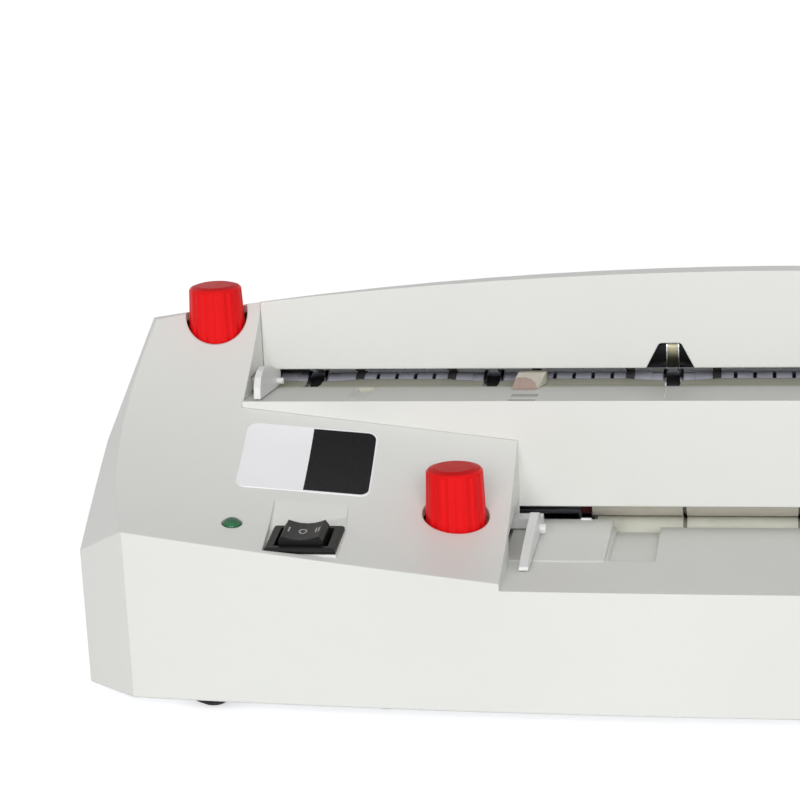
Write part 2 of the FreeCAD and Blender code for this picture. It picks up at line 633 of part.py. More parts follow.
def gear_x(centre, teeth, phase, bore, x_span=GEAR_X):
    """Spur gear about an axis along X; phase is the angle of a tooth, from +Y towards +Z."""
    points = [(centre[0] + y, centre[1] + z) for y, z in gear_points(teeth, phase)]
    hub_x = (x_span[0] - 0.8, x_span[1] + 0.8)
    hub_r = min(6.0, 0.5 * MODULE * teeth - 2.2)
    body = prism_yz(points, x_span).fuse(disc_x(centre, hub_r, hub_x))
    return body.cut(disc_x(centre, bore, hub_x))


def meshing_phase(centre_a, teeth_a, phase_a, centre_b, teeth_b):
    """Phase that puts gear b in mesh with gear a."""
    toward = math.atan2(centre_b[1] - centre_a[1], centre_b[0] - centre_a[0])
    return toward + math.pi + (toward - phase_a) * teeth_a / teeth_b + math.pi / teeth_b


def circle_crossing(a, radius_a, b, radius_b):
    """Point at radius_a from a and radius_b from b, on the side nearer the back."""
    dy, dz = b[0] - a[0], b[1] - a[1]
    gap = math.hypot(dy, dz)
    along = (radius_a ** 2 - radius_b ** 2 + gap ** 2) / (2 * gap)
    across = math.sqrt(radius_a ** 2 - along ** 2)
    return (a[0] + (along * dy + across * dz) / gap, a[1] + (along * dz - across * dy) / gap)


def train():
    """Centres, teeth and phases of all gears: right-hand train first, then the drive on the left."""
    step = 0.5 * MODULE
    idler = circle_crossing(LOWER_TOP, step * (LOWER_TEETH + IDLER_TEETH),
                            UPPER_BOTTOM, step * (UPPER_TEETH + IDLER_TEETH))
    reach = step * (LOWER_TEETH + REDUCTION_TEETH)
    turn = math.radians(REDUCTION_ANGLE_DEG)
    reduction = (LOWER_BOTTOM[0] + reach * math.cos(turn), LOWER_BOTTOM[1] + reach * math.sin(turn))
    motor = (reduction[0] + step * (REDUCTION_TEETH + MOTOR_TEETH), reduction[1])
    gears = {"upper_bottom": (UPPER_BOTTOM, UPPER_TEETH, 0.0)}

    def add(name, centre, teeth, driver):
        centre_a, teeth_a, phase_a = gears[driver]
        gears[name] = (centre, teeth, meshing_phase(centre_a, teeth_a, phase_a, centre, teeth))

    add("upper_top", UPPER_TOP, UPPER_TEETH, "upper_bottom")
    add("idler", idler, IDLER_TEETH, "upper_bottom")
    add("lower_top", LOWER_TOP, LOWER_TEETH, "idler")
    add("lower_bottom", LOWER_BOTTOM, LOWER_TEETH, "lower_top")
    gears["drive"] = (LOWER_BOTTOM, LOWER_TEETH, gears["lower_bottom"][2])
    add("reduction", reduction, REDUCTION_TEETH, "drive")
    add("motor", motor, MOTOR_TEETH, "reduction")
    return gears


# ---- cutter and feed shafts -------------------------------------------------------------------
def make_shaft(centre, left_end):
    """Steel shaft with journals for the bushes and the gears."""
    body = disc_x(centre, SHAFT_R, (LEFT_FRAME_X[1] + 1.4, RIGHT_FRAME_X[0] - 1.4))
    return body.fuse(disc_x(centre, JOURNAL_R, (left_end, GEAR_X[1] + 1.5)))


def on_shaft(centre, radius, spans):
    """Rings of one radius on a shaft, as separate solids."""
    return [disc_x(centre, radius, span, SHAFT_R) for span in spans]


def offsets(stations, near, far):
    """The same short span on both sides of every station."""
    spans = []
    for x in stations:
        spans.append((x - far, x - near))
        spans.append((x + near, x + far))
    return spans


def sleeve_spans(stations, clear, left_end):
    """Stretches between the stations, out to the right end, and to the left end if there is one.

    A stretch that would be too short for a sleeve is left bare.
    """
    limits = list(stations) + [RIGHT_END + clear]
    if left_end is not None:
        limits = [left_end - clear] + limits
    spans = [(a + clear, b - clear) for a, b in zip(limits[:-1], limits[1:])]
    return [(x0, x1) for x0, x1 in spans if x1 - x0 > SHORTEST_SLEEVE]


def turned_sleeves(centre, radius, spans, grips, seat_r, pitch=None):
    """Sleeves with seats for the grip rings, and with evenly spaced grooves if they have a pitch."""
    sleeves = []
    for x0, x1 in spans:
        sleeve = disc_x(centre, radius, (x0, x1), SHAFT_R)
        count = int((x1 - x0 - 2 * GROOVE_MARGIN) / pitch) if pitch else 0
        for step in range(count):
            x = 0.5 * (x0 + x1) + (step - 0.5 * (count - 1)) * pitch - 0.5 * GROOVE_WIDTH
            sleeve = sleeve.cut(disc_x(centre, radius + 1, (x, x + GROOVE_WIDTH), radius - GROOVE_DEPTH))
        for a, b in grips:
            if x0 < a and b < x1:
                sleeve = sleeve.cut(disc_x(centre, radius + 3, (a, b), seat_r))
        sleeves.append(sleeve)
    return sleeves


def make_cutter(name, centre, stations, pair_distance, feed_gap, pitch, left_end=None):
    """All pieces that turn with one cutter shaft; the top one carries the discs nearest the cut.

    A shaft with a left end has hubs and grip rings too. Half the feed gap is between its sleeves
    and the paper.
    """
    half = 0.5 * pair_distance
    is_top = name.endswith("top")
    shaft_end = DRIVE_X[0] - 1.2 if name == "lower_bottom" else LEFT_FRAME_X[0] - 2.3
    save(name + "_shaft", make_shaft(centre, shaft_end))
    near = CUT_HALF if is_top else CUT_HALF + DISC + DISC_GAP
    far = near + (DISC if is_top else ANVIL)
    discs = on_shaft(centre, half + 0.5 * DISC_OVERLAP, offsets(stations, near, far))
    save(name + "_discs", Part.makeCompound(discs))
    spacers = on_shaft(centre, half - (1.0 if is_top else 2.0), [(x - near, x + near) for x in stations])
    sleeve_r = half - 0.5 * feed_gap
    seat_r = sleeve_r - GRIP_SEAT
    hub_end, hubs, grips = far, [], []
    if left_end is not None:
        hub_end = TOP_HUB_END if is_top else BOTTOM_HUB_END
        grips = offsets(stations, GRIP_OFFSET - 0.5 * GRIP_WIDTH, GRIP_OFFSET + 0.5 * GRIP_WIDTH)
        hubs = turned_sleeves(centre, half - 1.0, offsets(stations, far, hub_end), grips, seat_r)
    spans = sleeve_spans(stations, hub_end, left_end)
    sleeves = turned_sleeves(centre, sleeve_r, spans, grips, seat_r, pitch)
    if is_top:
        save(name + "_spacers", Part.makeCompound(spacers))
        save(name + "_sleeves", Part.makeCompound(sleeves))
    else:
        save(name + "_sleeves", Part.makeCompound(sleeves + hubs + spacers))
    if is_top and hubs:
        save(name + "_hubs", Part.makeCompound(hubs))
    if grips:
        rings = [disc_x(centre, half - 0.2, grip, seat_r) for grip in grips]
        save(name + "_grip_rings", Part.makeCompound(rings))


# ---- motor ------------------------------------------------------------------------------------
def make_motor(centre):
    """Round motor can with its gearbox, flat against the inside of the left frame."""
    face = LEFT_FRAME_X[1]
    body = disc_x(centre, MOTOR_R, (face + 16.0, face + 54.0))
    body = body.fuse([disc_x(centre, MOTOR_R - 2.0, (face + 54.0, face + 56.0)),
                      disc_x(centre, MOTOR_R - 0.6, (face, face + 16.0)),
                      disc_x(centre, MOTOR_BOSS_R, (LEFT_FRAME_X[0] - 0.5, face))])
    body = body.cut(disc_x(centre, MOTOR_SHAFT_R + RUNNING_GAP, (-170.0, face + 16.0)))
    for point in motor_screw_points(centre):
        body = body.cut(disc_x(point, 1.3, (face, face + 5.0)))
    return body


def motor_screw_points(centre):
    return [(centre[0], centre[1] + 10.5), (centre[0], centre[1] - 10.5)]


def make_motor_pinion(gears):
    centre, teeth, phase = gears["motor"]
    shaft = disc_x(centre, MOTOR_SHAFT_R, (DRIVE_X[0] - 0.8, LEFT_FRAME_X[1] + 14.0))
    return shaft.fuse(gear_x(centre, teeth, phase, MOTOR_SHAFT_R, DRIVE_X))


def make_gear_axles(gears):
    """Fixed stub axles of the idler gear (right frame) and of the reduction gear (left frame)."""
    idler = gears["idler"][0]
    reduction = gears["reduction"][0]
    right = disc_x(idler, JOURNAL_R, (RIGHT_FRAME_X[1], GEAR_X[1] + 1.2))
    right = right.fuse(disc_x(idler, JOURNAL_R + 1.2, (GEAR_X[1] + 1.2, GEAR_X[1] + 2.2)))
    left = disc_x(reduction, JOURNAL_R, (DRIVE_X[0] - 1.2, LEFT_FRAME_X[0]))
    left = left.fuse(disc_x(reduction, JOURNAL_R + 1.2, (DRIVE_X[0] - 2.2, DRIVE_X[0] - 1.2)))
    return Part.makeCompound([right, left])


# ---- knobs and edge guides ----------------------------------------------------------------------
def make_knob(centre, rise):
    """Fluted knob: tapered, with a smooth rim, a flat top and a bore for its shaft."""
    surface_z = panel_z(*centre)
    low, high = surface_z - KNOB_SINK, surface_z + rise
    profile = [V(0, 0, low), V(KNOB_BASE_R, 0, low), V(KNOB_TOP_R, 0, high - KNOB_RIM),
               V(KNOB_TOP_R - 0.6, 0, high - 0.45 * KNOB_RIM), V(KNOB_FLAT_R, 0, high), V(0, 0, high)]
    knob = polygon_face(profile).revolve(V(0, 0, 0), Z_AXIS, 360)
    lean = math.degrees(math.atan((KNOB_BASE_R - KNOB_TOP_R) / (high - KNOB_RIM - low)))
    for step in range(KNOB_FLUTES):
        turn = FreeCAD.Rotation(Z_AXIS, 360.0 * step / KNOB_FLUTES)
        foot = turn.multVec(V(KNOB_BASE_R + FLUTE_R - FLUTE_DEPTH, 0, 0)) + V(0, 0, low)
        groove = Part.makeCylinder(FLUTE_R, high - low - KNOB_RIM)
        groove.Placement = FreeCAD.Placement(foot, turn.multiply(FreeCAD.Rotation(Y_AXIS, -lean)))
        knob = knob.cut(groove)
    knob = knob.cut(Part.makeCylinder(KNOB_SHAFT_R, high - low - 3.0, V(0, 0, low), Z_AXIS))
    knob.translate(V(centre[0], centre[1], 0))
    return knob


def make_knob_shaft(centre, rise, rack_z, floor_z):
    """Knob shaft with its pinion; the foot of the shaft turns in the bracket."""
    top = panel_z(*centre) + rise - 3.0
    shaft = disc_z(centre, KNOB_SHAFT_R, (floor_z + 1.3, top))
    points = [(centre[0] + x, centre[1] + y) for x, y in gear_points(PINION_TEETH, 0.5 * math.pi)]
    return shaft.fuse(prism_xy(points, rack_z))


def rack_points(centre_x, pitch_y, direction, back):
    """Outline of a rack along X; a gap faces the pinion, and the teeth point along direction."""
    pitch = math.pi * MODULE
    flank = math.tan(math.radians(20))
    tip = pitch_y + direction * 0.9 * MODULE
    root = pitch_y - direction * 1.2 * MODULE
    half = 0.25 * pitch - 0.06
    tip_half = half - 0.9 * MODULE * flank
    root_half = half + 1.2 * MODULE * flank
    first = centre_x - 0.5 * pitch * (RACK_TEETH - 1)
    points = []
    for tooth in range(RACK_TEETH):
        x = first + tooth * pitch
        points += [(x - root_half, root), (x - tip_half, tip), (x + tip_half, tip), (x + root_half, root)]
    x0, x1 = points[0][0] - 0.8, points[-1][0] + 0.8
    return [(x0, root)] + points + [(x1, root), (x1, back), (x0, back)]


def make_upper_guide():
    """Left edge guide of the upper slot: fin over the shelf, arm through the wall, and rack."""
    def over(y):
        return (y, line_z(SHELF_2, y) + FIN_GAP)

    fin_side = [over(-27.0), (-26.4, 75.0), (-24.4, 77.6), (-21.6, 79.0), (-18.0, 79.3), (-12.0, 77.9),
                (0.0, 73.9), (1.4, 73.0), over(1.4)]
    pitch_y = KNOB_1[1] - 0.5 * MODULE * PINION_TEETH
    back = pitch_y - RACK_DEPTH
    rack = prism_xy(rack_points(KNOB_1[0] + 0.5 * math.pi * MODULE, pitch_y, 1, back), UPPER_RACK_Z)
    arm = box((KNOB_1[0] + 5, UPPER_FIN_X[1]), (back, pitch_y - 1.2), UPPER_RACK_Z)
    pin = disc_x((-4.2, 71.4), 0.9, (UPPER_FIN_X[1] - 1, UPPER_FIN_X[1] + 2.0))
    return fuse([rack, arm, prism_yz(fin_side, UPPER_FIN_X), pin])


def make_lower_guide():
    """Left edge guide of the lower slot: its fin stands over the shelf and the ramp."""
    def over(y):
        return (y, line_z(SHELF_1, y) + ramp_rise(y) + FIN_GAP)

    fin_side = [over(-77.0), (-76.6, 38.6), (-66.0, 40.6), (-55.0, 42.2), (-46.5, 43.1), (-43.5, 43.2),
                (-40.8, 42.2), (-38.0, 39.9), (-35.6, 38.6), (-31.0, 38.5), over(-31.0), over(-65.8),
                over(-67.0)]
    pitch_y = KNOB_2[1] + 0.5 * MODULE * PINION_TEETH
    back = pitch_y + RACK_DEPTH
    rack = prism_xy(rack_points(KNOB_2[0] - 0.5 * math.pi * MODULE, pitch_y, -1, back), LOWER_RACK_Z)
    web = box((-91.0, -78.0), (pitch_y + 1.2, -32.0), LOWER_RACK_Z)
    arm = box((-91.0, LOWER_FIN_X[1]), (-37.6, -32.0), LOWER_RACK_Z)
    pin = disc_x((-44.0, 38.6), 1.4, (LOWER_FIN_X[1] - 1, LOWER_FIN_X[1] + 1.8))
    return fuse([rack, web, arm, prism_yz(fin_side, LOWER_FIN_X), pin])


def make_knob_brackets():
    """Brackets with the foot bearings of both knob shafts, each with a bed for its rack."""
    x, y = KNOB_1
    z0 = UPPER_BRACKET_Z
    upper = box((x - 9, LEFT_FRAME_X[0]), (y - 9, y + 7), (z0, z0 + 4))
    upper = upper.fuse(box((x - 15, LEFT_FRAME_X[0]), (y - 12.5, y - 8.5), (z0, UPPER_RACK_Z[0] - FIN_GAP)))
    upper = upper.fuse(box((x - 9, LEFT_FRAME_X[0]), (y + 5, y + 7), (z0 - 9, z0 + 4)))
    upper = upper.cut(disc_z(KNOB_1, KNOB_SHAFT_R + RUNNING_GAP, (z0 + 1, z0 + 5)))
    x, y = KNOB_2
    z0 = LOWER_BRACKET_Z
    lower = box((x - 9, x + 9), (y - 9, y + 9), (z0, z0 + 3.5))
    lower = lower.fuse(box((x - 14, x + 9), (y + 8, y + 12), (z0, LOWER_RACK_Z[0] - FIN_GAP)))
    for side in (-9.0, 7.0):
        lower = lower.fuse(box((x + side, x + side + 2), (y - 9, y + 9), (BOTTOM_Z + 1.5, z0)))
    lower = lower.cut(disc_z(KNOB_2, KNOB_SHAFT_R + RUNNING_GAP, (z0 + 1, z0 + 5)))
    return Part.makeCompound([upper, lower])


# ---- switch, lamp, label, leaf -------------------------------------------------------------------
def make_switch_housing():
    """Bezel and body of the rocker switch, with the well in which the rocker turns."""
    half_x, half_y = 0.5 * BEZEL_LENGTH, 0.5 * BEZEL_DEPTH
    bezel = box((-half_x, half_x), (-half_y, half_y), (-1.5, 0.0))
    rim = [edge for edge in bezel.Edges if edge.CenterOfMass.z > -0.1]
    bezel = bezel.makeChamfer(0.6, rim)
    body = box((-8.4, 8.4), (-6.4, 6.4), (-13.0, -1.4))
    well = box((-7.3, 7.3), (-5.6, 5.6), (-11.0, 2.0))
    blades = [box((x - 0.4, x + 0.4), (-2.4, 2.4), (-19.0, -12.9)) for x in (-5.5, 0.0, 5.5)]
    pivots = [Part.makeCylinder(PIVOT_R, 1.4, V(0, y, PIVOT_Z), Y_AXIS) for y in (-6.2, 4.8)]
    solid = bezel.fuse([body] + blades).cut(well).fuse(pivots)
    return placed(solid, switch_placement())


def make_rocker():
    """Saddle-shaped rocker that turns about an axis along the bezel's short side."""
    top = [(-5.0, 2.6), (-3.8, 2.15), (-2.0, 1.65), (0.0, 1.5), (2.0, 1.65), (3.8, 2.15), (5.0, 2.6)]
    side = [(6.0, 1.1), (6.0, -2.0), (2.6, -7.0), (-2.6, -7.0), (-6.0, -2.0), (-6.0, 1.1)]
    solid = polygon_face([V(x, -5.2, z) for x, z in top + side]).extrude(V(0, 10.4, 0))
    for y in (-5.3, 4.6):
        solid = solid.cut(Part.makeCylinder(PIVOT_R + RUNNING_GAP, 0.7, V(0, y, PIVOT_Z), Y_AXIS))
    return placed(solid, switch_placement())


def make_lamp():
    """Indicator lamp square to the panel: low domed lens with its two leads."""
    cap_r = (LED_R ** 2 + LED_DOME ** 2) / (2 * LED_DOME)
    dome = Part.makeSphere(cap_r, V(0, 0, LED_DOME - cap_r))
    dome = dome.common(Part.makeCylinder(LED_R, LED_DOME + 1, V(0, 0, 0), Z_AXIS))
    leads = [Part.makeCylinder(0.3, 8.5, V(dx, 0, -13.0), Z_AXIS) for dx in (-1.27, 1.27)]
    lens = Part.makeCylinder(LED_R, 5.0, V(0, 0, -5.0), Z_AXIS)
    return placed(lens.fuse([dome] + leads), lamp_placement())


def make_label():
    """Rounded label that follows the concave panel."""
    plate = box(LABEL_X, LABEL_Y, (30, 90))
    corners = [edge for edge in plate.Edges if abs(edge.Length - 60) < 1e-6]
    plate = plate.makeFillet(3.0, corners)
    plate.rotate(V(0.5 * sum(LABEL_X), 0.5 * sum(LABEL_Y), 0), Z_AXIS, LABEL_TURN_DEG)
    return plate.common(under_panel(-0.25)).cut(under_panel(0))


def make_leaf():
    """Thin curled paper leaf that hangs out of the upper slot."""
    inner = [(5.35, 79.0), (5.35, 75.0), (5.35, 72.9), (3.6, 70.5), (0.6, 69.6), (-3.4, 69.9), (-6.4, 71.0),
             (-7.9, 72.6)]
    rise = [(-0.35, 0.0), (-0.35, 0.0), (-0.35, 0.05), (-0.2, 0.3), (0.0, 0.35), (0.05, 0.35), (0.15, 0.3),
            (0.25, 0.2)]
    outer = [(y + dy, z + dz) for (y, z), (dy, dz) in zip(inner, rise)]
    return prism_yz(inner + list(reversed(outer)), LEAF_X)


# ---- paper guides, board and gland ----------------------------------------------------------------
def plate_along(line, x_span, thick):
    """Thin plate whose top follows a straight line in the Y-Z plane."""
    (y0, z0), (y1, z1) = line
    return prism_yz([(y0, z0), (y1, z1), (y1, z1 - thick), (y0, z0 - thick)], x_span)


def make_infeed_guide():
    """Lip from the upper shelf to the cutters, cut away in a curve at each station."""
    x_span = (UPPER_LEFT_X + 1.0, RIGHT_WALL_X - 1.0)
    y0, z0 = SHELF_2_END_Y, line_z(SHELF_2, SHELF_2_END_Y)
    (y1, z1), (tip_y, tip_z) = SHELF_2[1], LIP_TIP
    side = [(y0, z0 - 0.1), (y1, z1 - 0.1), (tip_y, tip_z), (tip_y, tip_z - 0.5), (y1, z1 - 0.9),
            (y0 + 1.2, z0 - 1.2), (y0 + 1.2, z0 - 9.0), (y0, z0 - 9.0)]
    lip = prism_yz(side, x_span)
    for x in UPPER_STATIONS:
        right = [(x + dx, y) for dx, y in SCALLOP]
        left = [(x - dx, y) for dx, y in reversed(SCALLOP)]
        lip = lip.cut(prism_xy(left + right, (60, 75)))
    return lip


def make_control_board():
    """Circuit board on posts, with a relay, a capacitor and a plug header."""
    z0 = BOTTOM_Z + 1.5
    board = box((-145, -95), (-72, -36), (z0 + 5, z0 + 6.6))
    posts = [disc_z((x, y), 2.5, (z0, z0 + 5)) for x in (-141, -99) for y in (-68, -40)]
    relay = box((-140, -121), (-64, -49), (z0 + 6.6, z0 + 17))
    capacitor = disc_z((-110, -48), 5.0, (z0 + 6.6, z0 + 18))
    header = box((-116, -102), (-70, -64), (z0 + 6.6, z0 + 13))
    return board.fuse(posts + [relay, capacitor, header])


def make_gland():
    """Cord gland in the rear panel, with the bore through which a supply cord enters."""
    start = V(GLAND_X, HALF_DEPTH - 10.0, GLAND_Z)
    body = Part.makeCylinder(GLAND_R, 10.0, start, Y_AXIS)
    nut = Part.makeCylinder(GLAND_R + 2.5, 3.5, start + V(0, 4.0, 0), Y_AXIS)
    return body.fuse(nut).cut(Part.makeCylinder(CORD_R, 10.0, start, Y_AXIS))


def make_frame_screws(gears):
    """Screws of the frames' feet and of the motor."""
    screws = []
    for flange_x in (LEFT_FLANGE_X, RIGHT_FLANGE_X):
        for y in FRAME_SCREW_Y:
            at = (0.5 * sum(flange_x), y, BOTTOM_Z + 3.5)
            screws.append(screw(at, (0, 0, -1), 3.0, 1.8, 1.55, 4.5))
    for y, z in motor_screw_points(gears["motor"][0]):
        screws.append(screw((LEFT_FRAME_X[0], y, z), (1, 0, 0), 2.2, 1.5, 1.25, 6.0))
    return Part.makeCompound(screws)


def main():
    gears = train()
    save("main_housing", make_main_housing())
    save("cutter_cover", make_cutter_cover())
    save("top_cover", make_top_cover())
    save("rear_panel", make_rear_panel())
    save("base_plate", make_base_plate())
    save("rubber_feet", make_feet())
    save("base_screws", Part.makeCompound([screw((x, y, BOTTOM_Z), (0, 0, 1), 3.0, 1.8, 1.5, 10.0)
                                           for x, y in BASE_SCREWS]))
    save("left_frame", make_side_frame(LEFT_FRAME_X, LEFT_FLANGE_X, gears))
    save("right_frame", make_side_frame(RIGHT_FRAME_X, RIGHT_FLANGE_X, gears))
    save("frame_screws", make_frame_screws(gears))
    save("shaft_bushes", make_bushes())
    save("tie_rods", make_tie_rods())
    save("gear_axles", make_gear_axles(gears))
    save("gear_motor", make_motor(gears["motor"][0]))
    save("motor_pinion", make_motor_pinion(gears))

    for name, centre in (("upper_top", UPPER_TOP), ("upper_bottom", UPPER_BOTTOM)):
        make_cutter(name, centre, UPPER_STATIONS, MODULE * UPPER_TEETH, UPPER_FEED_GAP, UPPER_GROOVE_PITCH,
                    UPPER_LEFT_END)
    for name, centre in (("lower_top", LOWER_TOP), ("lower_bottom", LOWER_BOTTOM)):
        make_cutter(name, centre, LOWER_STATIONS, MODULE * LOWER_TEETH, LOWER_FEED_GAP, LOWER_GROOVE_PITCH)
    for name in ("upper_top", "upper_bottom", "lower_top", "lower_bottom"):
        save(name + "_gear", gear_x(*gears[name], JOURNAL_R))
    save("idler_gear", gear_x(*gears["idler"], JOURNAL_R + RUNNING_GAP))
    save("drive_gear", gear_x(*gears["drive"], JOURNAL_R, DRIVE_X))
    save("reduction_gear", gear_x(*gears["reduction"], JOURNAL_R + RUNNING_GAP, DRIVE_X))

    save("upper_infeed_guide", make_infeed_guide())
    save("upper_exit_guide", plate_along(UPPER_EXIT_LINE, (LEFT_FRAME_X[1], RIGHT_FRAME_X[0]), 1.2))
    save("lower_exit_guide", plate_along(LOWER_EXIT_LINE, (PANEL_INNER_X - 3.0, RIGHT_FRAME_X[0]), 1.2))

    save("upper_knob", make_knob(KNOB_1, KNOB_1_RISE))
    save("upper_knob_shaft", make_knob_shaft(KNOB_1, KNOB_1_RISE, UPPER_RACK_Z, UPPER_BRACKET_Z))
    save("upper_edge_guide", make_upper_guide())
    save("lower_knob", make_knob(KNOB_2, KNOB_2_RISE))
    save("lower_knob_shaft", make_knob_shaft(KNOB_2, KNOB_2_RISE, LOWER_RACK_Z, LOWER_BRACKET_Z))
    save("lower_edge_guide", make_lower_guide())
    save("knob_brackets", make_knob_brackets())

    save("switch_housing", make_switch_housing())
    save("switch_rocker", make_rocker())
    save("indicator_lamp", make_lamp())
    save("label_plate", make_label())
    save("paper_leaf", make_leaf())
    save("control_board", make_control_board())
    save("cord_gland", make_gland())


main()
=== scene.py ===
import json
import math

import bmesh
import bpy
from mathutils import Matrix, Vector


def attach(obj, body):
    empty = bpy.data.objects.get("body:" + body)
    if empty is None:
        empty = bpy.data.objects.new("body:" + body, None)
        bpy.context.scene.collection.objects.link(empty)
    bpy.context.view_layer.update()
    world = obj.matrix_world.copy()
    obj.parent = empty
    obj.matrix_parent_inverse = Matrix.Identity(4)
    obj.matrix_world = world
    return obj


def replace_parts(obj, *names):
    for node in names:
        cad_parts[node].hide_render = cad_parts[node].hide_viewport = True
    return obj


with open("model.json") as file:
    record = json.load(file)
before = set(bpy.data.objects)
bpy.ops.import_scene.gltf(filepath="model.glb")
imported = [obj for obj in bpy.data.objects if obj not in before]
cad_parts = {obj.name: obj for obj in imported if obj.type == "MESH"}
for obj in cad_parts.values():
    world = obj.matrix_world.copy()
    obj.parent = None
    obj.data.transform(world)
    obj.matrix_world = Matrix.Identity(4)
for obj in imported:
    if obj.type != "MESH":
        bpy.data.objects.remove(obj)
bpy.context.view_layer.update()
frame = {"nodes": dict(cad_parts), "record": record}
NODES = frame["nodes"]
MM = 0.001


# ---- materials ------------------------------------------------------------------------------
class Paint:
    """One procedural material: a Principled shader and the nodes that feed it."""

    def __init__(self, name, **settings):
        self.material = bpy.data.materials.new(name)
        self.material.use_nodes = True
        self.tree = self.material.node_tree
        self.tree.nodes.clear()
        self.out = self.tree.nodes.new("ShaderNodeOutputMaterial")
        self.shader = self.tree.nodes.new("ShaderNodeBsdfPrincipled")
        self.tree.links.new(self.shader.outputs[0], self.out.inputs["Surface"])
        for socket, value in settings.items():
            self.shader.inputs[socket.replace("_", " ")].default_value = value
        self.coords = self.tree.nodes.new("ShaderNodeTexCoord").outputs["Object"]

    def node(self, kind, inputs=None, **settings):
        node = self.tree.nodes.new("ShaderNode" + kind)
        for key, value in settings.items():
            setattr(node, key, value)
        for key, value in (inputs or {}).items():
            if isinstance(value, bpy.types.NodeSocket):
                self.tree.links.new(value, node.inputs[key])
            else:
                node.inputs[key].default_value = value
        return node

    def feed(self, socket, value):
        self.tree.links.new(value, self.shader.inputs[socket])

    def stretched(self, scale):
        return self.node("Mapping", {"Vector": self.coords, "Scale": scale}).outputs[0]

    def noise(self, scale, detail=2.0, rough=0.5, vector=None):
        return self.node("TexNoise", {"Vector": vector or self.coords, "Scale": scale, "Detail": detail,
                                      "Roughness": rough}).outputs["Fac"]

    def ramp(self, value, low, high, to_low=0.0, to_high=1.0, smooth=False):
        node = self.node("MapRange", {"Value": value, "From Min": low, "From Max": high, "To Min": to_low,
                                      "To Max": to_high})
        if smooth:
            node.interpolation_type = "SMOOTHSTEP"
        return node.outputs[0]

    def mix(self, share, first, second, blend="MIX"):
        node = self.node("Mix", data_type="RGBA", blend_type=blend)
        for index, value in ((0, share), (6, first), (7, second)):
            if isinstance(value, bpy.types.NodeSocket):
                self.tree.links.new(value, node.inputs[index])
            else:
                node.inputs[index].default_value = value
        return node.outputs[2]

    def math(self, operation, first, second=0.0):
        node = self.node("Math", {0: first, 1: second}, operation=operation)
        return node.outputs[0]

    def axis(self, letter):
        return self.node("SeparateXYZ", {"Vector": self.coords}).outputs[letter]

    def radius_from(self, centre):
        """Distance from an axis along X through centre (y, z), in metres."""
        y = self.math("SUBTRACT", self.axis("Y"), centre[0])
        z = self.math("SUBTRACT", self.axis("Z"), centre[1])
        squares = self.math("ADD", self.math("MULTIPLY", y, y), self.math("MULTIPLY", z, z))
        return self.math("SQRT", squares)

    def relief(self, height, strength, distance, edge=0.0):
        """Bump from a height, over edges that are rounded by the radius edge."""
        inputs = {"Height": height, "Strength": strength, "Distance": distance}
        if edge:
            inputs["Normal"] = self.node("Bevel", {"Radius": edge}, samples=6).outputs[0]
        self.feed("Normal", self.node("Bump", inputs).outputs[0])


def srgb(red, green, blue):
    """Linear colour of three display values from 0 to 255."""
    def linear(value):
        value /= 255.0
        return value / 12.92 if value <= 0.04045 else ((value + 0.055) / 1.055) ** 2.4
    return (linear(red), linear(green), linear(blue), 1.0)


def moulded(name, colour, shade, rough, grain=2600.0, strength=0.10, edge=0.0006, **settings):
    """Injection-moulded plastic: fine eroded texture, faint clouding, and soft edges."""
    paint = Paint(name, **settings)
    cloud = paint.ramp(paint.noise(9.0, 3.0), 0.3, 0.7, smooth=True)
    speck = paint.ramp(paint.noise(grain * 0.6, 2.0), 0.35, 0.65)
    colours = paint.mix(cloud, colour, shade)
    paint.feed("Base Color", paint.mix(paint.math("MULTIPLY", speck, 0.25), colours, shade))
    paint.feed("Roughness", paint.ramp(paint.noise(60.0, 4.0), 0.25, 0.75, rough - 0.05, rough + 0.06))
    fine = paint.noise(grain, 3.0, 0.6)
    flow = paint.noise(14.0, 1.0)
    paint.relief(paint.math("ADD", fine, paint.math("MULTIPLY", flow, 4.0)), strength, 0.00006, edge)
    return paint


def metal(name, colour, shade, rough, grain, edge=0.0002, strength=0.15):
    """Worked metal: fine lines along one direction, tarnish clouds and softly rounded edges."""
    paint = Paint(name, Metallic=1.0)
    lines = paint.noise(1.0, 3.0, 0.6, paint.stretched(grain))
    cloud = paint.ramp(paint.noise(70.0, 4.0), 0.3, 0.7, smooth=True)
    paint.feed("Base Color", paint.mix(cloud, colour, shade))
    paint.feed("Roughness", paint.ramp(lines, 0.3, 0.7, rough - 0.08, rough + 0.10))
    paint.relief(lines, strength, 0.00004, edge)
    return paint


def with_painted_top_shade(name, base, height, top, specular=None):
    """A moulded paint with painted shade: its upward faces take the darker colour top, and another specular
    level if one is given.
    """
    paint = base(name)
    facing = paint.node("SeparateXYZ", {"Vector": paint.node("TexCoord").outputs["Normal"]}).outputs["Z"]
    # painted shade: faces that point up are given the darker colour top
    share = paint.ramp(facing, height - 0.05, height)
    link = paint.shader.inputs["Base Color"].links[0]
    paint.feed("Base Color", paint.mix(share, link.from_socket, top))
    if specular:
        paint.feed("Specular IOR Level", paint.ramp(share, 0.0, 1.0, *specular))
    return paint


def rubbery(name, colour, shade, rough=0.75):
    """Rubber: dull, slightly dusty, with a fine pitted skin."""
    paint = Paint(name, Specular_IOR_Level=0.3)
    dust = paint.ramp(paint.noise(130.0, 5.0, 0.65), 0.45, 0.75)
    paint.feed("Base Color", paint.mix(dust, colour, shade))
    paint.feed("Roughness", paint.ramp(paint.noise(400.0), 0.3, 0.7, rough - 0.08, rough + 0.1))
    paint.relief(paint.noise(3200.0, 4.0, 0.7), 0.3, 0.00008, 0.0003)
    return paint


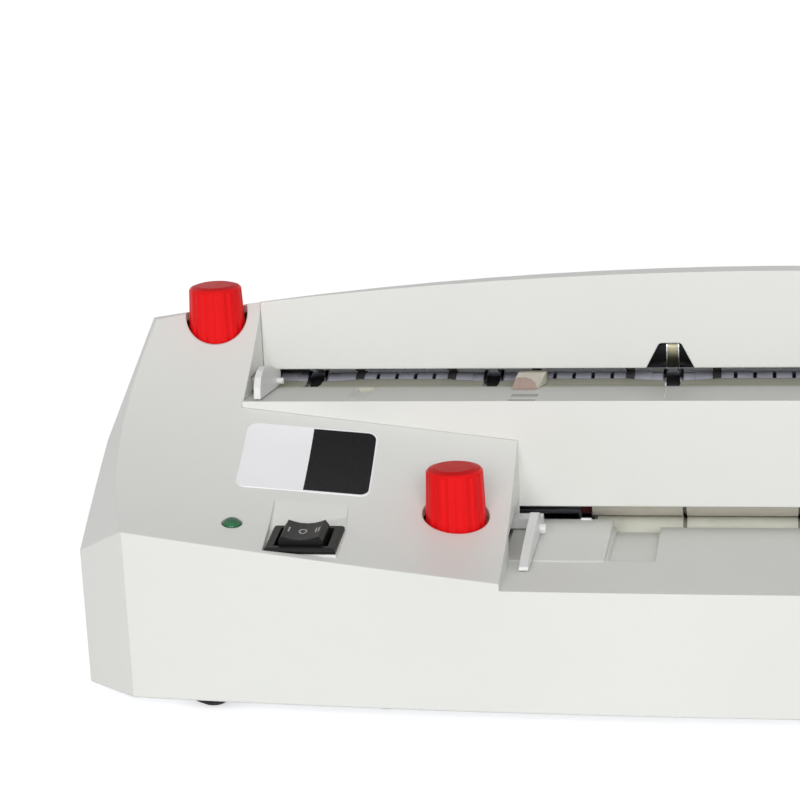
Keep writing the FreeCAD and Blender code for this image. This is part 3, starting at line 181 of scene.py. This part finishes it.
LABEL_CENTRE = (-0.12755, -0.04625, 0.0)
LABEL_TURN = 2.7
BLACK_X = (-0.0125, 0.01825)
BLACK_Y = (-0.01275, 0.01275)
BLACK_FROM_X = 0.00025
BLACK_CORNER = 0.0025
PRINT_BLUR = 0.00004


def label_print():
    """Printed film: pale left part, and a black right part with round corners inside a pale rim."""
    paint = Paint("label_print")
    local = paint.node("Mapping", {"Vector": paint.coords, "Location": LABEL_CENTRE,
                                   "Rotation": (0, 0, math.radians(LABEL_TURN))}, vector_type="TEXTURE")
    place = paint.node("SeparateXYZ", {"Vector": local.outputs[0]}).outputs
    spread = []
    for letter, (low, high) in (("X", BLACK_X), ("Y", BLACK_Y)):
        away = paint.math("ABSOLUTE", paint.math("SUBTRACT", place[letter], 0.5 * (low + high)))
        over = paint.math("MAXIMUM", paint.math("SUBTRACT", away, 0.5 * (high - low) - BLACK_CORNER))
        spread.append(paint.math("MULTIPLY", over, over))
    from_corner = paint.math("SQRT", paint.math("ADD", *spread))
    corner = paint.ramp(from_corner, BLACK_CORNER - PRINT_BLUR, BLACK_CORNER + PRINT_BLUR, 1.0, 0.0)
    border = paint.ramp(place["X"], BLACK_FROM_X - 0.5 * PRINT_BLUR, BLACK_FROM_X + 0.5 * PRINT_BLUR)
    split = paint.math("MULTIPLY", corner, border)
    paint.feed("Specular IOR Level", paint.ramp(split, 0.0, 1.0, 0.5, 0.12))
    pale = paint.mix(paint.ramp(paint.noise(40.0, 3.0), 0.3, 0.7), srgb(252, 252, 254), srgb(248, 248, 252))
    dark = paint.mix(paint.ramp(paint.noise(900.0, 2.0), 0.4, 0.7), srgb(10, 10, 11), srgb(18, 18, 20))
    paint.feed("Base Color", paint.mix(split, pale, dark))
    paint.feed("Roughness", paint.ramp(paint.noise(200.0, 3.0), 0.3, 0.7, 0.30, 0.42))
    paint.relief(paint.noise(700.0, 2.0), 0.08, 0.00003, 0.0001)
    return paint


def lens():
    """Tinted lamp lens with a brighter core and moulded ripples."""
    paint = Paint("lamp_green", Transmission_Weight=0.1, Coat_Weight=0.12, Coat_Roughness=0.03, IOR=1.5)
    core = paint.ramp(paint.noise(500.0, 2.0), 0.35, 0.65)
    paint.feed("Base Color", paint.mix(core, srgb(4, 84, 48), srgb(12, 110, 64)))
    paint.feed("Roughness", paint.ramp(paint.noise(900.0), 0.3, 0.7, 0.08, 0.16))
    paint.relief(paint.noise(1500.0), 0.08, 0.00003)
    return paint


def leaf_paper():
    """Tan card with fibres; its front end takes a darker brown as painted shade."""
    paint = Paint("leaf_paper", Specular_IOR_Level=0.15)
    facing = paint.node("TexCoord").outputs["Normal"]
    # painted shade: faces that point to the front take a darker brown
    front = paint.ramp(paint.node("SeparateXYZ", {"Vector": facing}).outputs["Y"], -0.9, -0.7, 1.0, 0.0)
    fibres = paint.noise(1.0, 4.0, 0.6, paint.stretched((2600.0, 300.0, 300.0)))
    blotch = paint.ramp(paint.noise(160.0, 3.0), 0.4, 0.7, smooth=True)
    flat = paint.mix(blotch, srgb(212, 208, 196), srgb(198, 192, 178))
    colour = paint.mix(front, flat, paint.mix(blotch, srgb(164, 140, 130), srgb(150, 126, 118)))
    paint.feed("Base Color", paint.mix(paint.math("MULTIPLY", fibres, 0.25), colour, srgb(222, 216, 204)))
    paint.feed("Roughness", paint.ramp(fibres, 0.3, 0.7, 0.78, 0.92))
    paint.relief(fibres, 0.3, 0.00006)
    return paint


def grooved(name, centre, bed_r, colour, shade, rough=0.5, bed=srgb(22, 22, 24)):
    """Roller sleeve: coloured skin, and grooves in the colour bed below the radius bed_r; that is the black hub
    for the sleeves and a painted groove shade for the rollers.
    """
    paint = Paint(name)
    radius = paint.radius_from(centre)
    skin = paint.ramp(radius, bed_r, bed_r + 0.0002)
    cloud = paint.ramp(paint.noise(180.0, 4.0), 0.35, 0.7)
    paint.feed("Base Color", paint.mix(skin, bed, paint.mix(cloud, colour, shade)))
    paint.feed("Roughness", paint.ramp(paint.noise(600.0, 2.0), 0.3, 0.7, rough - 0.08, rough + 0.1))
    paint.relief(paint.noise(1.0, 2.0, 0.5, paint.stretched((90.0, 2500.0, 2500.0))), 0.1, 0.00005, 0.0002)
    return paint


def circuit():
    """Green circuit board with copper tracks, and dark parts standing on it."""
    paint = Paint("board_green")
    cells = paint.node("TexVoronoi", {"Vector": paint.coords, "Scale": 420.0}, feature="DISTANCE_TO_EDGE",
                       distance="MANHATTAN")
    tracks = paint.ramp(cells.outputs["Distance"], 0.03, 0.06, 1.0, 0.0)
    board = paint.mix(tracks, srgb(20, 92, 52), srgb(58, 130, 74))
    parts = paint.ramp(paint.axis("Z"), 0.0134, 0.0136)
    paint.feed("Base Color", paint.mix(parts, board, srgb(38, 38, 42)))
    paint.feed("Roughness", paint.ramp(paint.noise(300.0), 0.3, 0.7, 0.3, 0.45))
    paint.relief(tracks, 0.2, 0.00004, 0.0002)
    return paint


WHITE = srgb(230, 231, 227)
WHITE_SHADE = srgb(226, 227, 223)


def white_plastic(name):
    return moulded(name, WHITE, WHITE_SHADE, 0.46)


def red_plastic(name):
    return moulded(name, srgb(238, 22, 26), srgb(228, 18, 22), 0.36, 1400.0, 0.08, 0.00025)


PAINTS = {
    "casing_plastic": white_plastic("casing_plastic"),
    "guide_plastic": moulded("guide_plastic", srgb(234, 234, 233), srgb(226, 227, 227), 0.40, edge=0.0004),
    # painted shade: the knob tops take a darker red and a lower specular level than the sides
    "knob_red": with_painted_top_shade("knob_red", red_plastic, 0.95, srgb(206, 22, 24), (0.12, 0.04)),
    # painted shade: the upward faces of the cutter cover, its shelf among them, take a darker grey
    "shelf_panel": with_painted_top_shade("shelf_panel", white_plastic, 0.9, srgb(208, 209, 205)),
    # painted shade: the lip under the cover takes a darker olive colour for the shadow it lies in
    "infeed_lip_painted_shade": moulded("infeed_lip_painted_shade", srgb(192, 192, 177), srgb(184, 184, 168), 0.5),
    "switch_black": moulded("switch_black", srgb(18, 19, 18), srgb(25, 26, 24), 0.42, 1800.0, 0.12, 0.0003,
                            Specular_IOR_Level=0.2),
    "hub_plastic": moulded("hub_plastic", srgb(16, 16, 17), srgb(24, 24, 25), 0.42, 1500.0, 0.1, 0.0003,
                           Specular_IOR_Level=0.15),
    "gland_plastic": moulded("gland_plastic", srgb(34, 34, 34), srgb(44, 44, 44), 0.5, 1500.0, 0.14, 0.0005),
    "gear_plastic": moulded("gear_plastic", srgb(228, 222, 206), srgb(214, 207, 190), 0.42, 1500.0, 0.1,
                            0.0002),
    "zinc_steel": metal("zinc_steel", srgb(186, 190, 194), srgb(164, 168, 174), 0.38, (60.0, 2400.0, 2400.0)),
    "screw_steel": metal("screw_steel", srgb(196, 198, 202), srgb(160, 162, 168), 0.24, (900.0, 900.0, 900.0)),
    "bush_bronze": metal("bush_bronze", srgb(176, 140, 92), srgb(146, 112, 70), 0.42, (1600.0, 1600.0, 1600.0)),
    "ground_steel": metal("ground_steel", srgb(176, 178, 182), srgb(150, 152, 158), 0.26, (3000.0, 60.0, 60.0)),
    "blade_steel": metal("blade_steel", srgb(206, 208, 212), srgb(184, 186, 192), 0.2, (200.0, 2600.0, 2600.0)),
    "spacer_brass": metal("spacer_brass", srgb(150, 146, 124), srgb(112, 106, 84), 0.34, (3000.0, 90.0, 90.0)),
    "spacer_fibre": moulded("spacer_fibre", srgb(112, 50, 50), srgb(92, 38, 40), 0.6, 1800.0, 0.12, 0.0002,
                            Specular_IOR_Level=0.2),
    "gear_steel": metal("gear_steel", srgb(150, 152, 156), srgb(120, 122, 128), 0.34, (1500.0, 1500.0, 1500.0)),
    "motor_case": metal("motor_case", srgb(84, 86, 90), srgb(64, 66, 70), 0.45, (60.0, 900.0, 900.0)),
    "foot_rubber": rubbery("foot_rubber", srgb(24, 24, 24), srgb(48, 48, 47)),
    "grip_rubber": rubbery("grip_rubber", srgb(70, 70, 72), srgb(98, 98, 98)),
    "sleeve_plastic": grooved("sleeve_plastic", (0.014, 0.0772), 0.0066, srgb(205, 204, 218),
                              srgb(188, 188, 204)),
    "sleeve_plastic_low": grooved("sleeve_plastic_low", (0.014, 0.0622), 0.00625, srgb(198, 198, 210),
                                  srgb(184, 184, 198)),
    # painted shade: the grey groove colours of the two rollers stand for the shade in their grooves
    "roller_rubber": grooved("roller_rubber", (-0.014, 0.043), 0.0091, srgb(240, 235, 222),
                             srgb(230, 225, 211), 0.7, srgb(120, 118, 108)),
    "roller_rubber_low": grooved("roller_rubber_low", (-0.014, 0.023), 0.0091, srgb(227, 228, 218),
                                 srgb(218, 219, 208), 0.7, srgb(150, 150, 138)),
    "label_print": label_print(),
    "lamp_green": lens(),
    "leaf_paper": leaf_paper(),
    "board_green": circuit(),
}
OWN_PAINTS = {"upper_bottom_sleeves": "sleeve_plastic_low", "lower_bottom_sleeves": "roller_rubber_low",
              "cutter_cover": "shelf_panel", "upper_infeed_guide": "infeed_lip_painted_shade"}


def dress(obj, paint):
    obj.data.materials.clear()
    obj.data.materials.append(PAINTS[paint].material)


for part in frame["record"]["subparts"]:
    dress(NODES[part["node"]], OWN_PAINTS.get(part["node"], part["material_slot"]))

# the moulded edges of the two guides are well rounded
WELD_REACH = 0.00001
GUIDE_ROUNDING = 0.0005
SHARP_ANGLE = 40.0
for name in ("upper_edge_guide", "lower_edge_guide"):
    NODES[name].modifiers.new("weld", "WELD").merge_threshold = WELD_REACH
    rounding = NODES[name].modifiers.new("round", "BEVEL")
    rounding.width, rounding.segments = GUIDE_ROUNDING, 3
    rounding.limit_method, rounding.angle_limit = "ANGLE", math.radians(SHARP_ANGLE)


# ---- small pieces ---------------------------------------------------------------------------
def piece(name, mesh, paint, body):
    obj = bpy.data.objects.new(name, mesh)
    bpy.context.scene.collection.objects.link(obj)
    dress(obj, paint)
    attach(obj, body)
    return obj


def rounded_block(name, low, high, radius, paint, body):
    """Box with rounded edges between two corners, in millimetres."""
    shape = bmesh.new()
    bmesh.ops.create_cube(shape, size=1.0)
    for vert in shape.verts:
        vert.co = Vector([(low[i] + (vert.co[i] + 0.5) * (high[i] - low[i])) * MM for i in range(3)])
    bmesh.ops.bevel(shape, geom=shape.edges[:], offset=radius * MM, segments=3, profile=0.5, affect="EDGES")
    mesh = bpy.data.meshes.new(name)
    shape.to_mesh(mesh)
    shape.free()
    return piece(name, mesh, paint, body)


# rocker marks: thin printed strips that follow the saddle, in the switch's own tilted frame
SWITCH_AT = (-121.7, -83.556, 49.014)
SWITCH_TILT = 7.0
SWITCH = Matrix.Translation(Vector(SWITCH_AT) * MM) @ Matrix.Rotation(math.radians(SWITCH_TILT), 4, "X")
MARK_LIFT = 0.05
MARK_DEPTH = 0.10
BAR_WIDTH = 0.42
RING_WIDTH = 0.40
SADDLE = ((-5.0, 2.6), (-3.8, 2.15), (-2.0, 1.65), (0.0, 1.5), (2.0, 1.65), (3.8, 2.15), (5.0, 2.6))


def saddle_z(x):
    for (x0, z0), (x1, z1) in zip(SADDLE[:-1], SADDLE[1:]):
        if x <= x1:
            return z0 + (z1 - z0) * (x - x0) / (x1 - x0)
    return SADDLE[-1][1]


def printed_strip(shape, path, width):
    """Closed or open flat band along path, laid on the saddle with a little thickness."""
    rings = []
    count = len(path)
    for index, (x, y) in enumerate(path):
        before, after = path[max(index - 1, 0)], path[min(index + 1, count - 1)]
        if path[0] == path[-1]:
            before, after = path[(index - 1) % (count - 1)], path[(index + 1) % (count - 1)]
        along = Vector((after[0] - before[0], after[1] - before[1])).normalized()
        side = Vector((-along.y, along.x)) * 0.5 * width
        ring = []
        for sign, height in ((1, -MARK_DEPTH), (1, MARK_LIFT), (-1, MARK_LIFT), (-1, -MARK_DEPTH)):
            px, py = x + sign * side.x, y + sign * side.y
            ring.append(shape.verts.new(SWITCH @ (Vector((px, py, saddle_z(px) + height)) * MM)))
        rings.append(ring)
    closed = path[0] == path[-1]
    for first, second in zip(rings[:-1], rings[1:]):
        for i in range(4):
            shape.faces.new((first[i], first[(i + 1) % 4], second[(i + 1) % 4], second[i]))
    if not closed:
        shape.faces.new(rings[0])
        shape.faces.new(list(reversed(rings[-1])))


marks = bmesh.new()
for x in (-3.9, 3.4, 4.2):
    printed_strip(marks, [(x, -1.3), (x, -0.4), (x, 0.5), (x, 1.3)], BAR_WIDTH)
circle = [(0.95 * math.cos(math.radians(a)) - 0.2, 1.2 * math.sin(math.radians(a))) for a in range(0, 360, 15)]
printed_strip(marks, circle + [circle[0]], RING_WIDTH)
bmesh.ops.remove_doubles(marks, verts=marks.verts, dist=1e-6)
bmesh.ops.recalc_face_normals(marks, faces=marks.faces)
mark_mesh = bpy.data.meshes.new("rocker_marks")
marks.to_mesh(mark_mesh)
marks.free()
PAINTS["mark_white"] = moulded("mark_white", srgb(226, 226, 224), srgb(216, 216, 214), 0.5, 2000.0, 0.1, 0.0001)
PAINTS["mark_grey"] = moulded("mark_grey", srgb(172, 172, 170), srgb(158, 158, 156), 0.5, 2000.0, 0.1, 0.0001)
piece("rocker_marks", mark_mesh, "mark_grey", "rocker")


# ---- shelves ------------------------------------------------------------------------------------
def shelf_z(y):
    """Height of the upper shelf."""
    return 71.5 - 3.0 * (y + 28.4) / 30.8


def paper_leaf():
    """Curled tongue that comes from under the cover: flat at the back, arched down to its right in front."""
    shape = bmesh.new()
    rings = []
    for y, left, right, curl in ((6.5, -72.6, -64.4, 0.0), (2.4, -72.6, -64.4, 0.0), (-0.5, -72.9, -64.9, 0.3),
                                 (-4.0, -73.2, -65.5, 0.7), (-7.6, -73.6, -66.2, 1.0)):
        ridge = left + 1.2 * curl
        floor, top = shelf_z(y) + 0.12, min(shelf_z(y) + 3.6, 73.15)
        ring = [(left, floor)]
        for step in range(13):
            share = step / 12.0
            fall = curl * (1.0 - math.sqrt(max(0.0, 1.0 - max(0.0, (share - 0.35) / 0.65) ** 2.2)))
            ring.append((ridge + share * (right - ridge), top - fall * (top - floor - 0.3)))
        ring.append((right, floor))
        rings.append([shape.verts.new(Vector((x, y, z)) * MM) for x, z in ring])
    count = len(rings[0])
    for first, second in zip(rings[:-1], rings[1:]):
        for i in range(count):
            shape.faces.new((first[i], first[(i + 1) % count], second[(i + 1) % count], second[i]))
    shape.faces.new(rings[0])
    shape.faces.new(list(reversed(rings[-1])))
    bmesh.ops.recalc_face_normals(shape, faces=shape.faces)
    mesh = bpy.data.meshes.new("curled_leaf")
    shape.to_mesh(mesh)
    shape.free()
    return mesh


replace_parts(piece("curled_leaf", paper_leaf(), "leaf_paper", "chassis"), "paper_leaf")

STRIP_DEPTH = 0.3
STRIP_LIFT = 0.05
PAINTS["strip_grey"] = moulded("strip_grey", srgb(160, 162, 160), srgb(151, 153, 151), 0.5, 2200.0, 0.1, 0.0001)


def shelf_strip(name, x_span, y_span, paint):
    """Thin strip laid into the upper shelf, along its slope, in millimetres."""
    shape = bmesh.new()
    corners = [shape.verts.new(Vector((x, y, shelf_z(y) + lift)) * MM)
               for lift in (-STRIP_DEPTH, STRIP_LIFT) for y in y_span for x in x_span]
    for face in ((0, 1, 3, 2), (4, 5, 7, 6), (0, 1, 5, 4), (1, 3, 7, 5), (3, 2, 6, 7), (2, 0, 4, 6)):
        shape.faces.new([corners[i] for i in face])
    bmesh.ops.recalc_face_normals(shape, faces=shape.faces)
    mesh = bpy.data.meshes.new(name)
    shape.to_mesh(mesh)
    shape.free()
    piece(name, mesh, paint, "chassis")


shelf_strip("shelf_strip_rear", (-72.6, -64.8), (-21.0, -16.5), "strip_grey")
shelf_strip("shelf_strip_front", (-72.6, -64.8), (-28.2, -26.0), "strip_grey")
shelf_strip("mark_line", (-28.7, -28.1), (-23.7, -3.5), "mark_white")
shelf_strip("mark_foot", (-32.0, -28.1), (-24.3, -23.7), "mark_white")
rounded_block("ramp_tab", (-52.6, -27.2, 35.3), (-49.5, -26.4, 36.2), 0.15, "guide_plastic", "chassis")


# ---- floor, light and camera ------------------------------------------------------------------
def make_floor():
    mesh = bpy.data.meshes.new("floor")
    corners = [(-FLOOR_HALF, -FLOOR_HALF, 0), (FLOOR_HALF, -FLOOR_HALF, 0), (FLOOR_HALF, FLOOR_HALF, 0),
               (-FLOOR_HALF, FLOOR_HALF, 0)]
    mesh.from_pydata(corners, [], [(0, 1, 2, 3)])
    floor = bpy.data.objects.new("floor", mesh)
    bpy.context.scene.collection.objects.link(floor)
    paint = Paint("floor_paint", Roughness=0.9, Specular_IOR_Level=0.1)
    shade = paint.ramp(paint.noise(1.5, 2.0), 0.3, 0.7)
    paint.feed("Base Color", paint.mix(shade, srgb(247, 247, 247), srgb(244, 244, 244)))
    rays = paint.node("LightPath")
    seen = paint.math("MAXIMUM", rays.outputs["Is Camera Ray"], rays.outputs["Is Glossy Ray"])
    seen = paint.math("MAXIMUM", seen, rays.outputs["Is Transmission Ray"])
    far = paint.node("VectorMath", {0: paint.coords}, operation="LENGTH").outputs["Value"]
    level = paint.ramp(far, *GLOW_REACH, GLOW_NEAR, GLOW_FAR)
    glow = paint.node("Emission", {"Color": (1, 1, 1, 1), "Strength": paint.math("MULTIPLY", seen, level)})
    total = paint.node("AddShader", {0: paint.shader.outputs[0], 1: glow.outputs[0]})
    paint.tree.links.new(total.outputs[0], paint.out.inputs["Surface"])
    mesh.materials.append(paint.material)


def make_world():
    world = bpy.data.worlds.new("studio")
    bpy.context.scene.world = world
    world.use_nodes = True
    tree = world.node_tree
    background = tree.nodes["Background"]
    rays = tree.nodes.new("ShaderNodeLightPath")
    seen = rays.outputs["Is Camera Ray"]
    for name in ("Is Glossy Ray", "Is Transmission Ray"):
        join = tree.nodes.new("ShaderNodeMath")
        join.operation = "MAXIMUM"
        tree.links.new(seen, join.inputs[0])
        tree.links.new(rays.outputs[name], join.inputs[1])
        seen = join.outputs[0]
    level = tree.nodes.new("ShaderNodeMapRange")
    level.inputs["To Min"].default_value = AMBIENT
    level.inputs["To Max"].default_value = 1.0
    tree.links.new(seen, level.inputs["Value"])
    tree.links.new(level.outputs[0], background.inputs["Strength"])
    background.inputs["Color"].default_value = (1, 1, 1, 1)


def softbox(name, azimuth, elevation, distance, size, power):
    """Area light aimed at the object; azimuth 0 stands in front of it, and positive is to the right."""
    light = bpy.data.lights.new(name, "AREA")
    light.shape = "RECTANGLE"
    light.size, light.size_y = size
    light.energy = power
    lamp = bpy.data.objects.new(name, light)
    a, e = math.radians(azimuth), math.radians(elevation)
    away = Vector((math.sin(a) * math.cos(e), -math.cos(a) * math.cos(e), math.sin(e)))
    lamp.location = Vector((0, 0, 0.05)) + away * distance
    lamp.rotation_mode = "QUATERNION"
    lamp.rotation_quaternion = away.to_track_quat("Z", "Y")
    bpy.context.scene.collection.objects.link(lamp)


def make_camera():
    camera = bpy.data.objects.new("camera", bpy.data.cameras.new("camera"))
    bpy.context.scene.collection.objects.link(camera)
    yaw, pitch, roll = (math.radians(v) for v in CAMERA_TURN)
    forward = Vector((math.sin(yaw) * math.cos(pitch), math.cos(yaw) * math.cos(pitch), -math.sin(pitch)))
    level = Vector((math.cos(yaw), -math.sin(yaw), 0))
    upright = level.cross(forward)
    right = level * math.cos(roll) + upright * math.sin(roll)
    up = upright * math.cos(roll) - level * math.sin(roll)
    turn = Matrix((right, up, -forward)).transposed()
    camera.matrix_world = Matrix.Translation(Vector(CAMERA_AT)) @ turn.to_4x4()
    camera.data.sensor_width = SENSOR
    camera.data.lens = CAMERA_LENS
    camera.data.shift_x = CAMERA_SHIFT
    camera.data.clip_start, camera.data.clip_end = 0.01, 50.0
    bpy.context.scene.camera = camera


AMBIENT = 0.35
FLOOR_HALF = 9.0
GLOW_REACH = (0.45, 2.2)
GLOW_NEAR = 0.56
GLOW_FAR = 0.97
CAMERA_AT = (-0.00188, -0.63152, 0.23349)
CAMERA_TURN = (-8.066, 14.863, -2.18)
CAMERA_LENS = 99.43
CAMERA_SHIFT = -0.07
SENSOR = 36.0
KEY_AZIMUTH = 4.0
KEY_ELEVATION = 24.0
KEY_DISTANCE = 1.9
KEY_SIZE = (1.5, 0.8)
KEY_POWER = 22.4

make_floor()
make_world()
softbox("key_front", KEY_AZIMUTH, KEY_ELEVATION, KEY_DISTANCE, KEY_SIZE, KEY_POWER)
make_camera()
bpy.context.scene.view_settings.view_transform = "Standard"
